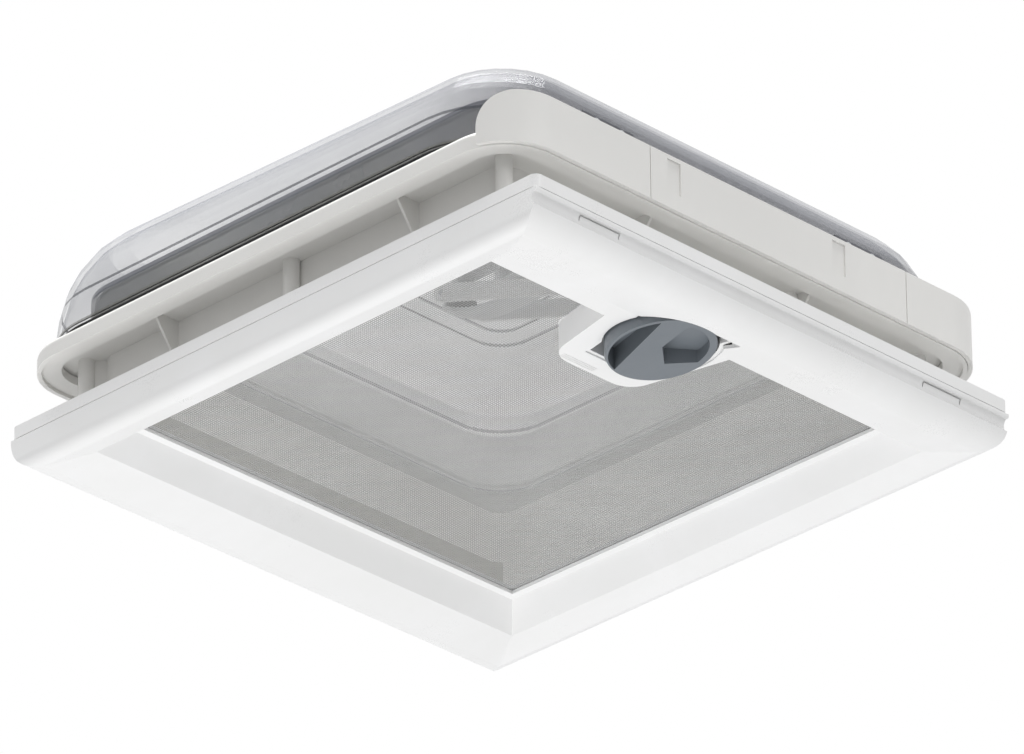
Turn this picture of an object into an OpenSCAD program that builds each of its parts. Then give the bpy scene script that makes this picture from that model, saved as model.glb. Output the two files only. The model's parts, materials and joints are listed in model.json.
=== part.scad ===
// Roof vent for a caravan: a smoked double dome on a white outer frame,
// clamped through a square roof opening to a ceiling frame, with a white
// inside trim, a fly screen, and a turning knob that lifts the dome.
// The origin is the middle of the opening, on the roof's outer face.
// +X is the hinge side, which carries the wind deflector; +Z is up.

/* [Roof opening] */
// Width of the square roof opening
opening_w = 400; // [396:1:404]
// Roof thickness between the flange and the ceiling frame
roof_t = 33; // [27:1:40]

/* [Outer frame] */
// Width of the flange's seat on the roof round the opening
flange_lap = 25; // [23:1:28]
// Corner radius of the flange
flange_r = 40; // [34:1:46]
// Height of the flange above the roof
flange_h = 12.5; // [11:0.5:14]
// Thickness of the flange plate
plate_t = 3; // [2.5:0.5:4]
// Radius of the flange's upper edge
flange_edge_r = 4; // [3:0.5:5]
// Width of the outer lip of the flange
lip_w = 3; // [2:0.5:4]
// Width of the sealing band beside the lip
band_w = 13; // [10:1:15]
// Depth of the sealing band above the roof
band_rise = 2.5; // [1.5:0.5:3.5]
// Gap between the opening's edge and the collar
collar_gap = 14; // [13:0.5:15]
// Wall of the collar
collar_t = 3; // [2.5:0.5:3.5]
// Corner radius of the collar
collar_r = 16; // [14:1:18]
// Height of the upstand above the roof
upstand_h = 28; // [24:1:29]
// Depth of the collar below the ceiling line
collar_drop = 4; // [2:1:5]
// Diameter of the screw bosses
boss_d = 11; // [10:0.5:11.5]
// Gap between the bosses and the ceiling frame
boss_gap = 2; // [1:0.5:4]
// Distance of the hinge side's gussets from the collar's corner
gusset_in = 113; // [111:1:116]
// Distance of the other gussets from the collar's corner
end_gusset_in = 76; // [66:1:90]
// Thickness of a gusset
gusset_t = 2; // [1.5:0.5:3]
// Depth of a gusset on the collar
gusset_h = 22; // [18:1:26]

/* [Screws] */
// Diameter of the clamp screws
screw_d = 3.5; // [3:0.5:4]
// Head diameter of the clamp screws
head_d = 7; // [6:0.5:8]
// Head height of the clamp screws
head_h = 2.4; // [2:0.2:3]
// Length of a clamp screw in its boss
screw_grip = 14; // [10:1:18]
// Distance of the side screws from the collar's corner
side_screw_in = 117; // [113:1:121]

/* [Wind deflector] */
// Height of the deflector above the roof
deflector_h = 39; // [38:0.5:42]
// Wall of the deflector
deflector_t = 3; // [2.5:0.5:3.5]
// Gap between the roof and the deflector
deflector_gap = 1; // [0.5:0.5:2]
// Width of a deflector foot
foot_w = 24; // [18:1:30]
// Reach of a deflector foot over the flange
foot_l = 11; // [10:0.5:12]
// Thickness of a deflector foot
foot_t = 2.5; // [2:0.5:3]
// Distance of the outer feet from the flange's corner
foot_in = 59; // [55:1:61]
// Width of the moulded recesses in the deflector
recess_w = 12; // [10:1:16]
// Depth of the moulded recesses
recess_t = 1.2; // [0.8:0.1:1.5]
// Place of the recesses from the middle
recess_y = 76; // [66:1:86]
// Place of the deflector's joint line on the far side of the middle
joint_y = 139; // [130:1:145]
// Place of the deflector's joint line on the near side of the middle
joint_near_y = 98; // [94:1:104]
// Width of a joint line
joint_w = 0.8; // [0.5:0.1:1.2]

/* [Dome] */
// Distance of the dome's rim from the flange's edge on three sides
dome_in = 3; // [2:0.5:5]
// Distance of the dome's rim from the flange's edge on the hinge side
dome_front_in = 18; // [17:0.5:19]
// Corner radius of the dome's rim
dome_r = 58; // [50:1:62]
// Height of the dome above its rim
dome_rise = 88; // [80:1:94]
// Width of the dome's rounded flank
flank_w = 90; // [80:1:100]
// Wall of the dome
dome_t = 2.5; // [2:0.5:3]
// Share of its rise that the dome loses towards the hinge
slope_share = 0.14; // [0.08:0.02:0.2]
// Opening angle of the dome at its limit
open_angle = 55; // [40:1:58]

/* [Inner pane] */
// Width of the pane's rim outside its side wall
pane_in = 22; // [21:0.5:23]
// Corner radius of the inner pane
pane_r = 38; // [34:1:39]
// Wall of the inner pane
pane_t = 2.5; // [2:0.5:3]
// Height of the inner pane's side wall over the rim
pane_h = 34; // [31:1:36]
// Height of the bead above the side wall
bead_h = 4.5; // [3:0.5:6]
// Step of the bead into the pane
bead_in = 3; // [2:0.5:4]
// Distance of the raised middle from the pane's side wall
field_in = 50; // [42:1:58]
// Rise of the raised middle of the pane
field_rise = 4; // [3:0.5:5]
// Half width of the first terrace
terrace_half = 62; // [56:1:70]
// Step in width from one terrace to the next
terrace_in = 14; // [11:1:15]
// Rise of one terrace
terrace_rise = 1.8; // [1.5:0.1:2.2]
// Number of terraces
terraces = 3; // [1:1:4]

/* [Seal] */
// Height of the rubber seal on the flange
seal_h = 3.2; // [2.5:0.1:4]
// Gap between the seal and the closed rim
seal_gap = 0.3; // [0.3:0.1:0.5]

/* [Hinges] */
// Height of the hinge axis above the roof
axis_z = 40; // [39:0.5:41]
// Distance of the hinge axis from the flange's edge
axis_in = 11; // [10.5:0.5:11.5]
// Diameter of a hinge pin
pin_d = 5; // [4:0.5:5]
// Diameter of a hinge knuckle
knuckle_d = 10; // [9:0.5:10]
// Width of a hinge
hinge_w = 60; // [50:1:70]
// Thickness of a hinge ear
ear_t = 7; // [5:0.5:9]
// Distance of a hinge from the flange's corner
hinge_in = 109; // [103:1:117]
// Thickness of the hinge leaf on the dome
leaf_t = 2.5; // [2:0.5:2.5]
// Height of the hinge leaf above the axis
leaf_h = 16; // [13:0.5:17]
// Running clearance of pins and shafts
fit = 0.05; // [0.02:0.01:0.08]
// Clearance beside knuckles and hubs
side_gap = 0.4; // [0.3:0.1:0.6]

/* [Ceiling frame] */
// How far the ceiling frame reaches past the flange on the hinge side
trim_front = 19; // [17:1:21]
// How far the ceiling frame reaches past the flange opposite the hinges
trim_back = 8; // [6:1:10]
// Distance of the ceiling frame's other two sides inside the flange's edge
trim_side = 8; // [6:1:10]
// Height of the ceiling frame's edge strip
strip_h = 9; // [8:0.5:10]
// Plate of the ceiling frame
ceiling_t = 2.5; // [2:0.5:3]
// Corner radius of the ceiling frame
ceiling_r = 5; // [4:0.5:8]

/* [Inside trim] */
// Depth of the trim's inner edge below the ceiling line
trim_h = 27; // [26:0.5:29]
// How much lower the border hangs at its outside than at its inner edge
belly_h = 6; // [5:0.5:7]
// Radius of the rolled edge on the hinge side
front_roll_r = 20; // [18:1:22]
// Radius of the rolled edge opposite the hinges
back_roll_r = 22; // [18:1:24]
// Radius of the rolled edge on the other two sides
side_roll_r = 9; // [8:0.5:12]
// Wall of the trim
trim_t = 2.5; // [2:0.5:3]
// Radius of the cove under the bead on the hinge side
cove_r = 5.5; // [5:0.5:6]
// Depth of the cove
cove_in = 4.5; // [4:0.5:5]
// Radius of the bead above the cove
cove_bead_r = 1.4; // [1:0.1:1.6]
// Width of the border opposite the hinges
border_back = 53; // [50:1:56]
// Width of the border on the hinge side
border_front = 52; // [51:1:54]
// Width of the border on the other two sides
border_side = 27; // [25:1:30]
// Extra width of the hinge side's border on the near side of the bay
border_step = 14; // [12:1:16]
// Width of the slope and the ledge inside the border
slope_w = 20; // [18:1:22]
// Rise of the slope from the inner edge to the ledge
slope_h = 17; // [16:0.5:17.5]
// Width of the ledge that carries the screen
ledge_w = 6; // [5:0.5:7]
// Gap between the strip and the trim
seam = 0.5; // [0.3:0.1:0.8]
// Length of a release slot in the cove
release_l = 36; // [30:1:42]
// Distance of the release slots from the trim's corner
release_in = 60; // [56:1:66]
// Height of a release slot
release_h = 1; // [1:0.2:1.8]
// Height of the notches at the ends of a release slot
notch_h = 3; // [2:0.5:4]

/* [Knob bay] */
// Distance of the knob from the trim's outer edge
knob_in = 68; // [67:0.5:70]
// Place of the knob from the middle, along the hinge
knob_y = -36; // [-38:1:-34]
// Diameter of the knob
knob_d = 72; // [68:1:74]
// Distance of the bay's tapered end from the knob
bay_back = 58; // [55:1:61]
// Width of the bay at its tapered end
bay_narrow = 70; // [66:1:74]
// Width of the bay at the border
bay_wide = 103; // [99:1:106]
// Corner radius of the bay
bay_r = 18; // [14:1:22]
// Distance of the bay's middle line from the knob
bay_shift = 5; // [4:0.5:6]
// Distance of the pocket's tapered end from the knob
pocket_back = 38; // [37.5:0.5:40]
// Distance of the pocket's wide end from the knob
pocket_front = 36; // [34:0.5:38]
// Width of the pocket at its tapered end
pocket_narrow = 40; // [36:1:44]
// Width of the pocket at its wide end
pocket_wide = 70; // [66:1:74]
// Length of the cut corner of the pocket along the border
pocket_cut = 40; // [34:1:44]
// Gap round the knob in its pocket
pocket_gap = 1.5; // [1.2:0.1:2]
// Depth of the pocket
pocket_h = 15; // [14:0.5:16]
// Width of the step round the pocket
step_w = 2.5; // [2:0.5:3]
// Depth of the step round the pocket
step_h = 1.2; // [1:0.2:1.6]
// Length of the fine moulded lines at the bay's end
line_l = 30; // [24:1:34]
// Width of a moulded line
line_w = 0.9; // [0.6:0.1:1.2]
// Depth of a moulded line
line_t = 0.5; // [0.3:0.1:0.8]
// How far the middle of the knob's face stands out of the trim
knob_out = 4.5; // [4:0.5:6]
// Slant of the knob's face
face_slant = 8; // [6:0.5:9]
// Direction in which the knob's face rises
face_turn = 25; // [15:1:35]
// Distance of the crescent hollow's straight edge from the knob's axis
crescent_in = 17; // [15:0.5:19]
// Direction of the crescent hollow's straight edge
crescent_turn = 165; // [155:1:175]
// Depth of the finger hollows
hollow_h = 11; // [9:0.5:12]
// Rim of the knob beside the crescent hollow
rim_t = 2.5; // [2:0.5:3]
// Rim of the knob beside the thumb hollow
thumb_rim_t = 5; // [4:0.5:6]
// Diameter of the knob's spindle
spindle_d = 8; // [7:0.5:8]

/* [Lift drive] */
// Height of the cross shaft below the roof's outer face
shaft_drop = 10; // [8:0.5:12]
// Distance from the spindle to the cross shaft
gear_reach = 34; // [32:0.5:36]
// Diameter of the cross shaft
shaft_d = 8; // [7:0.5:9]
// Width of the drive housing
housing_w = 34; // [30:1:38]
// Length of a lift arm between its centres
arm_l = 150; // [140:1:160]
// Width of a lift arm
arm_w = 12; // [10:1:14]
// Thickness of a lift arm
arm_t = 3; // [2.5:0.5:4]
// Diameter of the arm's hubs
hub_d = 18; // [16:1:20]
// Height of the closed arm's roller above the roof
roller_z = 38; // [36:0.5:40]
// Diameter of the roller
roller_d = 10; // [9:0.5:11]
// Clearance of the roller in its track
roller_gap = 0.6; // [0.5:0.1:1]
// Turn of the arm for one degree of the dome
arm_ratio = 1.27; // [1.22:0.01:1.3]
// Wall of the track
track_t = 2.5; // [2:0.5:3]

/* [Hidden] */
$fn = 48;
over = 1;
frame_half = opening_w / 2 + flange_lap;
collar_half = opening_w / 2 - collar_gap;
collar_in = collar_half - collar_t;
ceiling_z = -roof_t;
strip_z = ceiling_z - strip_h;
boss_r = boss_d / 2;
boss_c = collar_half + boss_r - collar_t / 3;
boss_z = ceiling_z + boss_gap;
plate_z = flange_h - plate_t;
side_screw_y = collar_half - side_screw_in;
dome_reach = frame_half - dome_in;
dome_front = frame_half - dome_front_in;
axis_x = frame_half - axis_in;
hinge_y = frame_half - hinge_in;
foot_y = frame_half - foot_in;
seal_z = flange_h + seal_h;
rim_z = seal_z + seal_gap;
shell_z = rim_z + pane_t;
pane_half = dome_reach - pane_in;
field_half = pane_half - field_in;
pane_wall_z = shell_z + pane_h;
pane_bead_z = pane_wall_z + bead_h;
pane_top_z = pane_bead_z + field_rise;
trim_x0 = -frame_half - trim_back;
trim_x1 = frame_half + trim_front;
trim_y = frame_half - trim_side;
trim_z = ceiling_z - trim_h;
belly_z = trim_z - belly_h;
edge_x0 = trim_x0 + border_back;
edge_x1 = trim_x1 - border_front;
edge_y = trim_y - border_side;
ledge_z = trim_z + slope_h;
knob_x = trim_x1 - knob_in;
pocket_z = trim_z + pocket_h;
shaft_x = knob_x - gear_reach;
shaft_z = -shaft_drop;
screw_places = [
    [boss_c, side_screw_y], [boss_c, -side_screw_y],
    [-boss_c, side_screw_y], [-boss_c, -side_screw_y],
    [0, boss_c], [0, -boss_c],
    [boss_c, boss_c], [boss_c, -boss_c],
    [-boss_c, boss_c], [-boss_c, -boss_c]
];

// Shares of the flank's width and rise, from the rim to the top
flank_in_shares = [0, 0.02, 0.06, 0.12, 0.2, 0.3, 0.42, 0.58, 0.78, 1];
front_in_shares = [0, 0, 0, 0, 0.05, 0.13, 0.26, 0.45, 0.72, 1];
flank_up_shares = [0, 0.2, 0.4, 0.56, 0.7, 0.81, 0.895, 0.95, 0.985, 1];
corner_share = 0.4;
corner_steps = 7;

// Plan outline with round corners, from [x0, x1] and [y0, y1]
module sheet(x0, x1, y0, y1, r) {
    translate([x0 + r, y0]) square([x1 - x0 - 2 * r, y1 - y0]);
    translate([x0, y0 + r]) square([x1 - x0, y1 - y0 - 2 * r]);
    for (x = [x0 + r, x1 - r], y = [y0 + r, y1 - r])
        translate([x, y]) circle(r);
}

module square_sheet(half, r) {
    sheet(-half, half, -half, half, r);
}

module square_ring(half, r, wall) {
    difference() {
        square_sheet(half, r);
        square_sheet(half - wall, r - wall);
    }
}

// Sweeps a profile round a square with round corners; the profile's x is
// measured outward from the line and its y is the height
module sweep_ring(half, r) {
    for (k = [0 : 3]) rotate([0, 0, 90 * k]) {
        translate([half, 0, 0]) rotate([90, 0, 0])
            linear_extrude(2 * (half - r), center = true) children();
        translate([half - r, half - r, 0])
            rotate_extrude(angle = 90) translate([r, 0]) children();
    }
}

module slab(z0, z1) {
    translate([0, 0, z0]) linear_extrude(z1 - z0) children();
}

// A cylinder along Y between two places
module y_bar(x, z, y0, y1, d) {
    translate([x, y1, z]) rotate([90, 0, 0]) cylinder(h = y1 - y0, d = d);
}

// Outline of the dome's rim, drawn in by an inset
module dome_sheet(inset) {
    sheet(-dome_reach + inset, dome_front - inset,
        -dome_reach + inset, dome_reach - inset, dome_r - inset);
}

// Outer frame

// Section of the flange's rim: lip, sealing band and rounded upper edge
module flange_profile() {
    translate([-lip_w, 0]) square([lip_w, flange_h - flange_edge_r]);
    translate([-lip_w - band_w, band_rise]) square([lip_w + band_w, flange_h - flange_edge_r - band_rise]);
    translate([-lip_w - band_w, plate_z]) square([lip_w + band_w - flange_edge_r, plate_t]);
    intersection() {
        translate([-flange_edge_r, flange_h - flange_edge_r]) circle(flange_edge_r);
        translate([-flange_edge_r, flange_h - flange_edge_r]) square(flange_edge_r);
    }
}

module boss_post(p) {
    translate([p[0], p[1], boss_z]) cylinder(h = plate_z - boss_z + over, r = boss_r);
}

// Web from the collar's corner into the corner boss
module corner_web() {
    inner = collar_half - collar_r;
    start = inner * sqrt(2) + collar_r - collar_t / 2;
    end = boss_c * sqrt(2) - (boss_r + screw_d / 2) / 2;
    rotate([0, 0, 45]) translate([start, -gusset_t / 2, boss_z + over])
        cube([end - start, gusset_t, plate_z - boss_z]);
}

module gusset() {
    translate([collar_half - collar_t / 2, gusset_t / 2, plate_z + over / 2]) rotate([90, 0, 0])
        linear_extrude(gusset_t) polygon([
            [0, 0], [frame_half - lip_w - band_w - collar_half, 0], [collar_t / 2, -gusset_h - plate_z],
            [0, -gusset_h - plate_z]
        ]);
}

module outer_frame() {
    color([0.88, 0.88, 0.86]) difference() {
        union() {
            sweep_ring(frame_half, flange_r) flange_profile();
            slab(plate_z, flange_h) difference() {
                square_sheet(frame_half - lip_w - band_w / 2, flange_r - lip_w - band_w / 2);
                square_sheet(collar_half - collar_t / 2, collar_r - collar_t / 2);
            }
            slab(ceiling_z - collar_drop, upstand_h) square_ring(collar_half, collar_r, collar_t);
            for (p = screw_places) boss_post(p);
            for (k = [0 : 3]) rotate([0, 0, 90 * k]) {
                corner_web();
                at = collar_half - (k % 2 == 0 ? gusset_in : end_gusset_in);
                for (s = [-1, 1]) translate([0, s * at, 0]) gusset();
            }
        }
        for (p = screw_places) translate([p[0], p[1], boss_z - over])
            cylinder(h = screw_grip + 2 * over, d = screw_d + 2 * fit);
    }
}

module dome_seal() {
    color([0.07, 0.07, 0.08]) slab(flange_h, seal_z) difference() {
        dome_sheet(over);
        square_sheet(pane_half - pane_t, pane_r - pane_t);
    }
}

// Wind deflector

deflector_in = frame_half + seal_gap;
deflector_out = deflector_in + deflector_t;
deflector_r = flange_r + seal_gap + deflector_t;
deflector_end_r = deflector_h - flange_h;
deflector_x = deflector_out - deflector_end_r - deflector_t / 2;

module deflector_side_view() {
    translate([deflector_x, deflector_gap])
        square([deflector_end_r + 2 * deflector_t, flange_h - deflector_gap]);
    intersection() {
        translate([deflector_x + deflector_end_r, flange_h]) circle(deflector_end_r);
        translate([deflector_x, flange_h]) square(deflector_end_r);
    }
    translate([deflector_x + deflector_end_r, flange_h])
        square([2 * deflector_t, deflector_h - flange_h]);
}

module wind_deflector() {
    color([0.86, 0.855, 0.84]) difference() {
        union() {
            intersection() {
                slab(deflector_gap, deflector_h) square_ring(deflector_out, deflector_r, deflector_t);
                translate([0, deflector_out + over, 0]) rotate([90, 0, 0])
                    linear_extrude(2 * (deflector_out + over)) deflector_side_view();
            }
            for (y = [-foot_y, 0, foot_y])
                translate([deflector_in - foot_l, y - foot_w / 2, flange_h])
                    cube([foot_l + deflector_t / 2, foot_w, foot_t]);
        }
        for (y = [-foot_y, 0, foot_y])
            translate([deflector_in - foot_l / 2, y, flange_h - over])
                cylinder(h = foot_t + 2 * over, d = screw_d + 2 * fit);
        for (y = [-recess_y, recess_y])
            translate([deflector_out - recess_t, y - recess_w / 2, flange_h])
                cube([recess_t + over, recess_w, deflector_h - flange_h - deflector_t]);
        for (y = [-joint_near_y, joint_y])
            translate([deflector_out - joint_w, y, deflector_gap - over])
                cube([2 * joint_w, joint_w, deflector_h + 2 * over]);
    }
}

module pan_screw(grip) {
    translate([0, 0, -grip]) cylinder(h = grip, d = screw_d);
    intersection() {
        cylinder(h = head_h, d = head_d);
        translate([0, 0, head_h - head_d]) sphere(head_d);
    }
}

module deflector_screws() {
    color([0.75, 0.76, 0.78]) for (y = [-foot_y, 0, foot_y])
        translate([deflector_in - foot_l / 2, y, flange_h + foot_t]) pan_screw(foot_t);
}

// Hinges

ear_x0 = axis_x - knuckle_d / 2;

module hinge_base(y) {
    difference() {
        union() {
            for (s = [-1, 1]) translate([0, y + s * (hinge_w - ear_t) / 2, 0]) {
                y_bar(axis_x, axis_z, -ear_t / 2, ear_t / 2, knuckle_d);
                translate([ear_x0, -ear_t / 2, flange_h]) cube([knuckle_d, ear_t, axis_z - flange_h]);
            }
            translate([ear_x0, y - hinge_w / 2, flange_h]) cube([knuckle_d, hinge_w, foot_t]);
        }
        y_bar(axis_x, axis_z, y - hinge_w / 2 - over, y + hinge_w / 2 + over, pin_d + 2 * fit);
    }
}

module hinge_bases() {
    color([0.16, 0.17, 0.18]) for (s = [-1, 1])
        hinge_base(s * hinge_y);
}

module hinge_pins() {
    color([0.7, 0.71, 0.73]) for (s = [-1, 1])
        y_bar(axis_x, axis_z, s * hinge_y - hinge_w / 2, s * hinge_y + hinge_w / 2, pin_d);
}

// The leaf wraps the pin between the ears and lies on the dome's front
module hinge_leaf(y) {
    leaf_w = hinge_w - 2 * ear_t - 2 * side_gap;
    leaf_x = dome_front;
    color([0.16, 0.17, 0.18]) difference() {
        union() {
            y_bar(axis_x, axis_z, y - leaf_w / 2, y + leaf_w / 2, knuckle_d);
            translate([leaf_x, y - leaf_w / 2, axis_z]) cube([leaf_t, leaf_w, leaf_h]);
            translate([leaf_x, y - leaf_w / 2, axis_z]) cube([axis_x - leaf_x, leaf_w, knuckle_d / 2]);
        }
        y_bar(axis_x, axis_z, y - leaf_w, y + leaf_w, pin_d + 2 * fit);
        for (s = [-1, 1]) translate([leaf_x - over, y + s * leaf_w / 4, leaf_screw_z]) rotate([0, 90, 0])
            cylinder(h = leaf_t + 2 * over, d = screw_d + 2 * fit);
    }
}

leaf_screw_z = axis_z + (leaf_h + knuckle_d / 2) / 2;

module hinge_leaf_near() {
    hinge_leaf(-hinge_y);
}

module hinge_leaf_far() {
    hinge_leaf(hinge_y);
}

module leaf_screws() {
    leaf_w = hinge_w - 2 * ear_t - 2 * side_gap;
    color([0.75, 0.76, 0.78]) for (h = [-1, 1], s = [-1, 1])
        translate([dome_front + leaf_t, h * hinge_y + s * leaf_w / 4, leaf_screw_z]) rotate([0, 90, 0])
            pan_screw(leaf_t);
}

// Ceiling frame

// Plan of the ceiling frame and the trim, drawn in by an inset
module ceiling_sheet(inset) {
    sheet(trim_x0 + inset, trim_x1 - inset, inset - trim_y, trim_y - inset, ceiling_r - inset);
}

module ceiling_frame() {
    color([0.93, 0.93, 0.93]) difference() {
        slab(strip_z, ceiling_z) ceiling_sheet(0);
        slab(strip_z - over, ceiling_z - ceiling_t) ceiling_sheet(ceiling_t);
        slab(strip_z, ceiling_z + over) square_sheet(collar_half + side_gap, collar_r + side_gap);
        for (p = screw_places) translate([p[0], p[1], ceiling_z - ceiling_t - over])
            cylinder(h = ceiling_t + 2 * over, d = screw_d + 2 * fit);
    }
}

module clamp_screws() {
    color([0.75, 0.76, 0.78]) for (p = screw_places)
        translate([p[0], p[1], ceiling_z - ceiling_t]) rotate([180, 0, 0])
            pan_screw(screw_grip);
}

// Inside trim

trim_top = strip_z - seam;
border_x = edge_x1 + trim_t;

// Section of a tub with rolled lower edges; t draws its inner face in
module tub_section(a0, a1, r0, r1, t) {
    mid = (a0 + a1) / 2;
    top = trim_top + (t > 0 ? over : 0);
    translate([a0 + t, belly_z + r0]) square([mid - a0 - t, top - belly_z - r0]);
    translate([a0 + r0, belly_z + t]) square([mid - a0 - r0, r0]);
    translate([a0 + r0, belly_z + r0]) circle(r0 - t);
    translate([mid - over, belly_z + r1]) square([a1 - t - mid + over, top - belly_z - r1]);
    translate([mid - over, belly_z + t]) square([a1 - r1 - mid + over, r1]);
    translate([a1 - r1, belly_z + r1]) circle(r1 - t);
}

// Section across the hinge side, with its bead and cove
module front_section(t) {
    cove_z = trim_top - cove_bead_r - cove_r;
    difference() {
        tub_section(trim_x0, trim_x1, back_roll_r, front_roll_r, t);
        if (t > 0) translate([trim_x1 - cove_in - t, belly_z])
            square([cove_in + t, trim_top - belly_z + 2 * over]);
        else translate([trim_x1 + cove_r - cove_in, cove_z]) circle(cove_r);
    }
    if (t == 0) translate([trim_x1 - cove_bead_r, trim_top - cove_bead_r]) circle(cove_bead_r);
}

// Rise of the border from its outside to its inner edge
module border_section(a0, a1, b0, b1, t) {
    polygon([
        [a0, belly_z - over], [a0, belly_z + t], [b0, trim_z + t],
        [b1, trim_z + t], [a1, belly_z + t], [a1, belly_z - over]
    ]);
}

module across_x() {
    rotate([90, 0, 0]) linear_extrude(2 * trim_x1, center = true) children();
}

module across_y() {
    rotate([90, 0, 90]) linear_extrude(2 * (trim_x1 + over), center = true) children();
}

// Outer form of the trim; t gives the hollow behind its wall
module tub(t) {
    difference() {
        intersection() {
            across_x() front_section(t);
            across_y() tub_section(-trim_y, trim_y, side_roll_r, side_roll_r, t);
        }
        intersection() {
            across_x() border_section(trim_x0 + back_roll_r, trim_x1 - front_roll_r, edge_x0, edge_x1, t);
            across_y() border_section(side_roll_r - trim_y, trim_y - side_roll_r, -edge_y, edge_y, t);
        }
    }
}

// Section of the opening with its slope and ledge, between two edges
module funnel_section(b0, b1) {
    run = slope_w - ledge_w;
    polygon([
        [b0, belly_z - over], [b0, trim_z], [b0 + run, ledge_z], [b0 + slope_w, ledge_z],
        [b0 + slope_w, ceiling_z], [b1 - slope_w, ceiling_z], [b1 - slope_w, ledge_z],
        [b1 - run, ledge_z], [b1, trim_z], [b1, belly_z - over]
    ]);
}

// Section of the wall behind the slope and the ledge
module funnel_wall_section(b0, b1) {
    run = slope_w - ledge_w;
    polygon([
        [b0 - trim_t, trim_z], [b0 - trim_t, trim_z + trim_t], [b0 + run - trim_t, ledge_z + trim_t],
        [b1 - run + trim_t, ledge_z + trim_t], [b1 + trim_t, trim_z + trim_t], [b1 + trim_t, trim_z]
    ]);
}

// The border's inner edge steps back beyond the bay's middle line
module funnel() {
    intersection() {
        across_x() funnel_section(edge_x0, edge_x1 - border_step);
        across_y() funnel_section(-edge_y, edge_y);
    }
    intersection() {
        across_x() funnel_section(edge_x0, edge_x1);
        across_y() funnel_section(-edge_y, edge_y);
        slab(belly_z - 2 * over, ceiling_z + over) far_side();
    }
}

module funnel_walls() {
    intersection() {
        across_x() funnel_wall_section(edge_x0, edge_x1 - border_step);
        across_y() funnel_wall_section(-edge_y, edge_y);
    }
    intersection() {
        across_x() funnel_wall_section(edge_x0, edge_x1);
        across_y() funnel_wall_section(-edge_y, edge_y);
        slab(belly_z - 2 * over, ceiling_z + over) far_side();
    }
}

module far_side() {
    translate([trim_x0, bay_y]) square([trim_x1 - trim_x0, trim_y - bay_y]);
}

bay_x0 = knob_x - bay_back;
bay_y = knob_y - bay_shift;
bay_lean = atan((bay_wide - bay_narrow) / (border_x - bay_x0) / 2);

arc_steps = 8;
function arc(c, r, a0, a1) = [
    for (i = [0 : arc_steps]) let (a = a0 + (a1 - a0) * i / arc_steps) c + r * [cos(a), sin(a)]
];

// A tapered outline whose narrow end has round corners
module taper_sheet(x0, x1, half, lean, r) {
    side = half + (x1 - x0) * tan(lean);
    c = half + r * tan(lean) - r / cos(lean);
    polygon(concat(
        arc([x0 + r, c], r, 90 + lean, 180), arc([x0 + r, -c], r, 180, 270 - lean),
        [[x1, -side], [x1, side]]
    ));
}

// Plan of the bay, up to the border on the hinge side
module bay_plan(inset) {
    half = bay_narrow / 2 + inset * tan(bay_lean) - inset / cos(bay_lean);
    translate([0, bay_y]) taper_sheet(bay_x0 + inset, border_x, half, bay_lean, bay_r - inset);
}

pocket_lean = atan((pocket_wide - pocket_narrow) / (pocket_back + pocket_front) / 2);

// Plan of the pocket: tapered, with one cut corner, and round about the knob
module pocket_plan(grow) {
    x0 = knob_x - pocket_back - grow;
    x1 = knob_x + pocket_front + grow;
    half = pocket_narrow / 2 - grow * tan(pocket_lean) + grow / cos(pocket_lean);
    side = half + (x1 - x0) * tan(pocket_lean);
    cut = pocket_cut / 2 + grow;
    translate([0, bay_y]) polygon([
        [x0, -half], [x1 - cut, -side + cut * tan(pocket_lean)], [x1, pocket_cut - side],
        [x1, side], [x0, half]
    ]);
    translate([knob_x, knob_y]) circle(knob_r + pocket_gap + grow);
}

// A release slot with a short notch at each end
module release_slot() {
    z = trim_top - 2 * cove_bead_r - release_h;
    translate([trim_x1 - cove_in - trim_t - over, -release_l / 2, z])
        cube([cove_in + trim_t + 2 * over, release_l, release_h]);
    for (s = [-1, 1])
        translate([trim_x1 - cove_in - trim_t - over, s * (release_l - release_h) / 2, z - notch_h])
            translate([0, -release_h / 2, 0])
                cube([cove_in + trim_t + 2 * over, release_h, notch_h + release_h / 2]);
}

module inside_trim() {
    color([0.95, 0.95, 0.95]) difference() {
        union() {
            difference() {
                union() {
                    difference() {
                        tub(0);
                        tub(trim_t);
                    }
                    difference() {
                        funnel_walls();
                        slab(trim_z + trim_t, ceiling_z) bay_plan(0);
                    }
                }
                difference() {
                    funnel();
                    slab(belly_z - 3 * over, ledge_z + trim_t) bay_plan(0);
                }
            }
            slab(trim_z, trim_z + trim_t) bay_plan(0);
            slab(trim_z, ledge_z + trim_t) difference() {
                bay_plan(0);
                bay_plan(trim_t);
            }
            slab(trim_z, pocket_z + trim_t) pocket_plan(trim_t);
        }
        slab(belly_z - over, pocket_z) pocket_plan(0);
        slab(belly_z - over, trim_z + step_h) pocket_plan(step_w);
        translate([knob_x, knob_y, pocket_z - over])
            cylinder(h = trim_t + 2 * over, d = spindle_d + 2 * fit);
        for (i = [1 : 3]) translate([bay_x0 + line_w + 2 * i * line_w, bay_y - line_l, trim_z - over])
            cube([line_w, line_l, line_t + over]);
        for (s = [-1, 1]) translate([0, s * (trim_y - release_in), 0]) release_slot();
    }
}

// Fly screen

net_t = 0.8;
net_z = ledge_z + trim_t;
net_lap = ledge_w - trim_t / 2;
net_gaps = 16;
net_strand_share = 0.12;
screen_x0 = edge_x0 + slope_w;
screen_x1 = edge_x1 - slope_w;
screen_y = edge_y - slope_w;

// Plan of the screen, grown or drawn in from the opening in the trim
module screen_plan(grow) {
    difference() {
        sheet(screen_x0 - grow, screen_x1 + grow, -screen_y - grow, screen_y + grow, ceiling_r);
        bay_plan(-side_gap);
    }
}

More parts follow.
